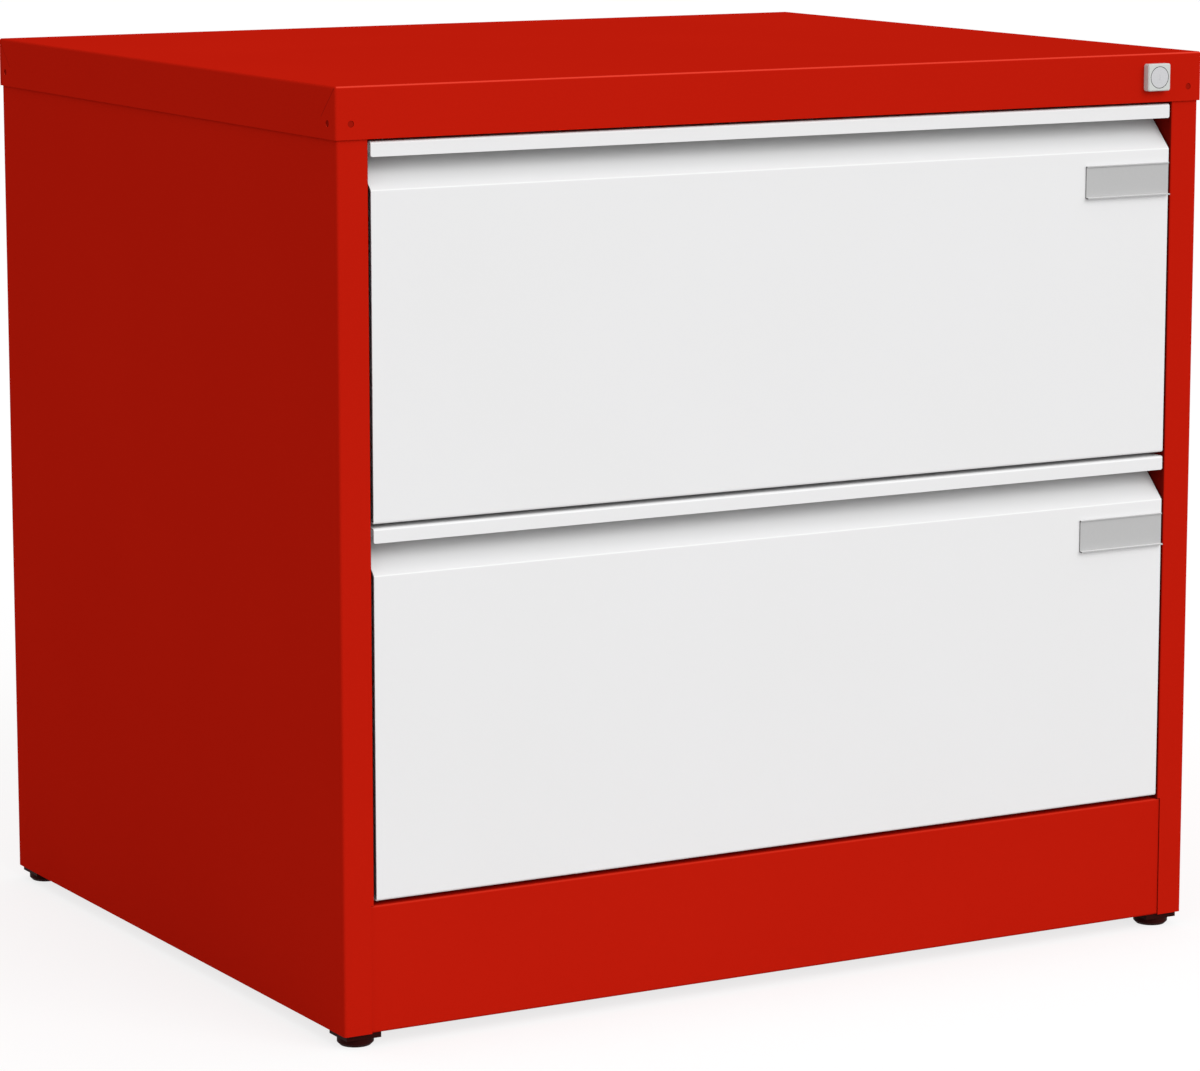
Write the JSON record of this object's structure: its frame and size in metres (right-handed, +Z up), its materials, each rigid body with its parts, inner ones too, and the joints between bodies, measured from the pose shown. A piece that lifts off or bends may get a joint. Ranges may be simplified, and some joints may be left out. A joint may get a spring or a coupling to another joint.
{
  "type": "filing cabinet",
  "caption": "Low wide steel filing cabinet: red carcass, white drawers with folded finger grips, telescopic runners, rails for hanging files, label holders and a gang lock",
  "frame": {"origin": "on the floor under the middle of the top cover", "axes": "+Z up, the drawers open towards -Y, +X to the right seen from the front"},
  "size_m": [0.775, 0.6363, 0.72],
  "materials": {
    "red_powder_coat": "satin powder coat",
    "white_powder_coat": "satin powder coat",
    "zinc_steel": "bright zinc plating",
    "black_plastic": "dark maroon moulding",
    "lock_grey": "light grey moulding",
    "lock_nickel": "satin nickel",
    "label_grey": "extruded plastic"
  },
  "bodies": {
    "cabinet": {"top_cover": "red_powder_coat", "left_side_panel": "red_powder_coat", "right_side_panel": "red_powder_coat", "back_panel": "red_powder_coat", "bottom_panel": "red_powder_coat", "plinth": "red_powder_coat", "front_top_rail": "red_powder_coat", "cover_rivets": "red_powder_coat", "left_front_upright": "zinc_steel", "left_rear_upright": "zinc_steel", "right_front_upright": "zinc_steel", "right_rear_upright": "zinc_steel", "feet": "black_plastic", "lock_housing": "lock_grey", "lock_nut": "zinc_steel", "lock_bar_upper_guide": "zinc_steel", "lock_bar_lower_guide": "zinc_steel", "upper_left_outer_rail": "zinc_steel", "upper_right_outer_rail": "zinc_steel", "lower_left_outer_rail": "zinc_steel", "lower_right_outer_rail": "zinc_steel"},
    "lock_plug": {"lock_core": "lock_nickel", "lock_crank": "zinc_steel"},
    "lock_slider": {"lock_bar": "zinc_steel"},
    "upper_drawer": {"upper_front_skin": "white_powder_coat", "upper_front_liner": "white_powder_coat", "upper_left_drawer_side": "white_powder_coat", "upper_right_drawer_side": "white_powder_coat", "upper_drawer_bottom": "white_powder_coat", "upper_drawer_back": "white_powder_coat", "upper_centre_file_rail": "white_powder_coat", "upper_label_holder": "label_grey", "upper_lock_catch": "zinc_steel", "upper_left_inner_rail": "zinc_steel", "upper_right_inner_rail": "zinc_steel"},
    "upper_middle_rails": {"upper_left_middle_rail": "zinc_steel", "upper_right_middle_rail": "zinc_steel"},
    "upper_outer_cages": {"upper_outer_ball_cages": "zinc_steel"},
    "upper_inner_cages": {"upper_inner_ball_cages": "zinc_steel"},
    "lower_drawer": {"lower_front_skin": "white_powder_coat", "lower_front_liner": "white_powder_coat", "lower_left_drawer_side": "white_powder_coat", "lower_right_drawer_side": "white_powder_coat", "lower_drawer_bottom": "white_powder_coat", "lower_drawer_back": "white_powder_coat", "lower_centre_file_rail": "white_powder_coat", "lower_label_holder": "label_grey", "lower_lock_catch": "zinc_steel", "lower_left_inner_rail": "zinc_steel", "lower_right_inner_rail": "zinc_steel"},
    "lower_middle_rails": {"lower_left_middle_rail": "zinc_steel", "lower_right_middle_rail": "zinc_steel"},
    "lower_outer_cages": {"lower_outer_ball_cages": "zinc_steel"},
    "lower_inner_cages": {"lower_inner_ball_cages": "zinc_steel"}
  },
  "joints": [
    {"name": "lock_turn", "type": "hinge", "parent": "cabinet", "child": "lock_plug", "pos_m": [0.34185, -0.315, 0.7011], "axis": [0, -1, 0], "range_deg": [0, 90]},
    {"name": "lock_bar_lift", "type": "slide", "parent": "cabinet", "child": "lock_slider", "axis": [0, 0, 1], "range_m": [0, 0.01414]},
    {"name": "upper_drawer_slide", "type": "slide", "parent": "cabinet", "child": "upper_drawer", "axis": [0, -1, 0], "range_m": [0, 0.55]},
    {"name": "upper_middle_rails_slide", "type": "slide", "parent": "cabinet", "child": "upper_middle_rails", "axis": [0, -1, 0], "range_m": [0, 0.275]},
    {"name": "upper_outer_cages_slide", "type": "slide", "parent": "cabinet", "child": "upper_outer_cages", "axis": [0, -1, 0], "range_m": [0, 0.1375]},
    {"name": "upper_inner_cages_slide", "type": "slide", "parent": "cabinet", "child": "upper_inner_cages", "axis": [0, -1, 0], "range_m": [0, 0.4125]},
    {"name": "lower_drawer_slide", "type": "slide", "parent": "cabinet", "child": "lower_drawer", "axis": [0, -1, 0], "range_m": [0, 0.55]},
    {"name": "lower_middle_rails_slide", "type": "slide", "parent": "cabinet", "child": "lower_middle_rails", "axis": [0, -1, 0], "range_m": [0, 0.275]},
    {"name": "lower_outer_cages_slide", "type": "slide", "parent": "cabinet", "child": "lower_outer_cages", "axis": [0, -1, 0], "range_m": [0, 0.1375]},
    {"name": "lower_inner_cages_slide", "type": "slide", "parent": "cabinet", "child": "lower_inner_cages", "axis": [0, -1, 0], "range_m": [0, 0.4125]}
  ],
  "couplings": [
    {"joint": "lock_turn", "follows": "lock_bar_lift", "rad_per_m": 111.07},
    {"joint": "upper_middle_rails_slide", "follows": "upper_drawer_slide", "ratio": 0.5},
    {"joint": "upper_outer_cages_slide", "follows": "upper_drawer_slide", "ratio": 0.25},
    {"joint": "upper_inner_cages_slide", "follows": "upper_drawer_slide", "ratio": 0.75},
    {"joint": "lower_middle_rails_slide", "follows": "lower_drawer_slide", "ratio": 0.5},
    {"joint": "lower_outer_cages_slide", "follows": "lower_drawer_slide", "ratio": 0.25},
    {"joint": "lower_inner_cages_slide", "follows": "lower_drawer_slide", "ratio": 0.75}
  ]
}
